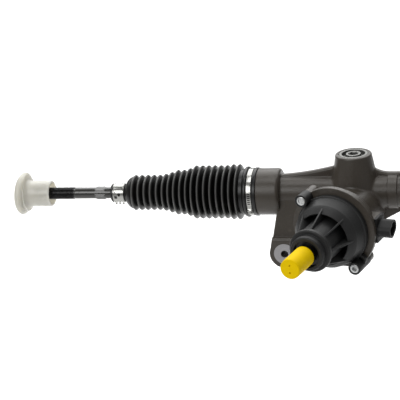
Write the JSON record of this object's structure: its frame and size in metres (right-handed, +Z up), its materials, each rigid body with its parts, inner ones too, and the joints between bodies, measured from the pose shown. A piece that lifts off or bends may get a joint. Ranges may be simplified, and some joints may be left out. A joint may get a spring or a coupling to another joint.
{
  "type": "steering rack",
  "caption": "Rack-and-pinion steering gear with cast housing, ribbed torque sensor cover, capped input shaft, bellows and tie rods with thread caps.",
  "frame": {"origin": "centre of the left mounting hole on its machined front face", "axes": "+X along the rack to the far side, -Y out of the mounting hole towards the steering column, +Z up through the yoke"},
  "size_m": [1.2224, 0.2321, 0.125],
  "materials": {
    "cast_housing": "dark taupe coat on cast metal, satin",
    "bare_aluminium": "machined, bare",
    "spring_steel": "hardened, blank",
    "ground_steel": "ground and oiled",
    "zinc_steel": "bright zinc plated",
    "clamp_steel": "bright rolled stainless strip",
    "black_coated_steel": "gloss black coat",
    "black_rubber": "satin moulded rubber",
    "damper_rubber": "matt moulded rubber",
    "charcoal_plastic": "moulded, satin",
    "black_plastic": "moulded, satin",
    "yellow_plastic": "soft moulded, matt",
    "milky_plastic": "translucent, satin",
    "bearing_plastic": "natural, satin",
    "ferrite": "pressed, matt",
    "circuit_board": "lacquered"
  },
  "bodies": {
    "housing": {"housing": "cast_housing", "yoke": "bare_aluminium", "yoke_springs": "spring_steel", "yoke_plug": "bare_aluminium", "rack_bush": "bearing_plastic", "pinion_bearing_outer": "ground_steel", "needle_bearing": "ground_steel", "tower_end_plug": "zinc_steel", "bearing_ring_nut": "zinc_steel", "sensor_board": "circuit_board", "sensor_cover": "charcoal_plastic", "cover_seal": "black_rubber", "cover_bolts": "zinc_steel", "shaft_seal": "black_rubber", "sensor_connector": "black_plastic", "left_bellows": "black_rubber", "right_bellows": "black_rubber", "left_large_clamp": "clamp_steel", "right_large_clamp": "clamp_steel", "left_stop_ring": "damper_rubber", "right_stop_ring": "damper_rubber"},
    "rack": {"rack_bar": "ground_steel", "left_ball_socket": "ground_steel", "right_ball_socket": "ground_steel"},
    "pinion": {"pinion": "ground_steel", "torsion_bar": "spring_steel", "pinion_bearing_inner": "ground_steel", "pinion_bearing_balls": "ground_steel", "sensor_stator": "zinc_steel"},
    "input": {"input_shaft": "ground_steel", "sensor_magnet": "ferrite"},
    "pinion_cap": {"pinion_cap": "yellow_plastic"},
    "left_seat": {"left_ball_seat": "bearing_plastic"},
    "left_rod": {"left_tie_rod": "black_coated_steel", "left_small_clamp": "clamp_steel"},
    "left_cap": {"left_thread_cap": "milky_plastic"},
    "right_seat": {"right_ball_seat": "bearing_plastic"},
    "right_rod": {"right_tie_rod": "black_coated_steel", "right_small_clamp": "clamp_steel"},
    "right_cap": {"right_thread_cap": "milky_plastic"}
  },
  "joints": [
    {"name": "rack_slide", "type": "slide", "parent": "housing", "child": "rack", "axis": [1, 0, 0], "range_m": [-0.06, 0.06], "deforming": ["left_bellows", "right_bellows"]},
    {"name": "pinion_turn", "type": "hinge", "parent": "housing", "child": "pinion", "pos_m": [0.0867, 0.03, 0.049], "axis": [0.2588, 0.9659, 0], "range_deg": [-438, 438]},
    {"name": "input_twist", "type": "hinge", "parent": "pinion", "child": "input", "pos_m": [0.0867, 0.03, 0.049], "axis": [0.2588, 0.9659, 0], "range_deg": [-4.5, 4.5], "stiffness_Nm_per_rad": 115},
    {"name": "pinion_cap_pull", "type": "slide", "parent": "input", "child": "pinion_cap", "axis": [-0.2588, -0.9659, 0], "range_m": [0, 0.12]},
    {"name": "left_rod_pitch", "type": "hinge", "parent": "rack", "child": "left_seat", "pos_m": [-0.135, 0.03, 0.064], "axis": [0, 1, 0], "range_deg": [-20, 20]},
    {"name": "left_rod_yaw", "type": "hinge", "parent": "left_seat", "child": "left_rod", "pos_m": [-0.135, 0.03, 0.064], "axis": [0, 0, 1], "range_deg": [-10, 10]},
    {"name": "left_cap_pull", "type": "slide", "parent": "left_rod", "child": "left_cap", "axis": [-1, 0, 0], "range_m": [0, 0.15]},
    {"name": "right_rod_pitch", "type": "hinge", "parent": "rack", "child": "right_seat", "pos_m": [0.705, 0.03, 0.064], "axis": [0, -1, 0], "range_deg": [-20, 20]},
    {"name": "right_rod_yaw", "type": "hinge", "parent": "right_seat", "child": "right_rod", "pos_m": [0.705, 0.03, 0.064], "axis": [0, 0, 1], "range_deg": [-10, 10]},
    {"name": "right_cap_pull", "type": "slide", "parent": "right_rod", "child": "right_cap", "axis": [1, 0, 0], "range_m": [0, 0.15]}
  ],
  "couplings": [
    {"joint": "pinion_turn", "follows": "rack_slide", "rad_per_m": 127.1}
  ]
}
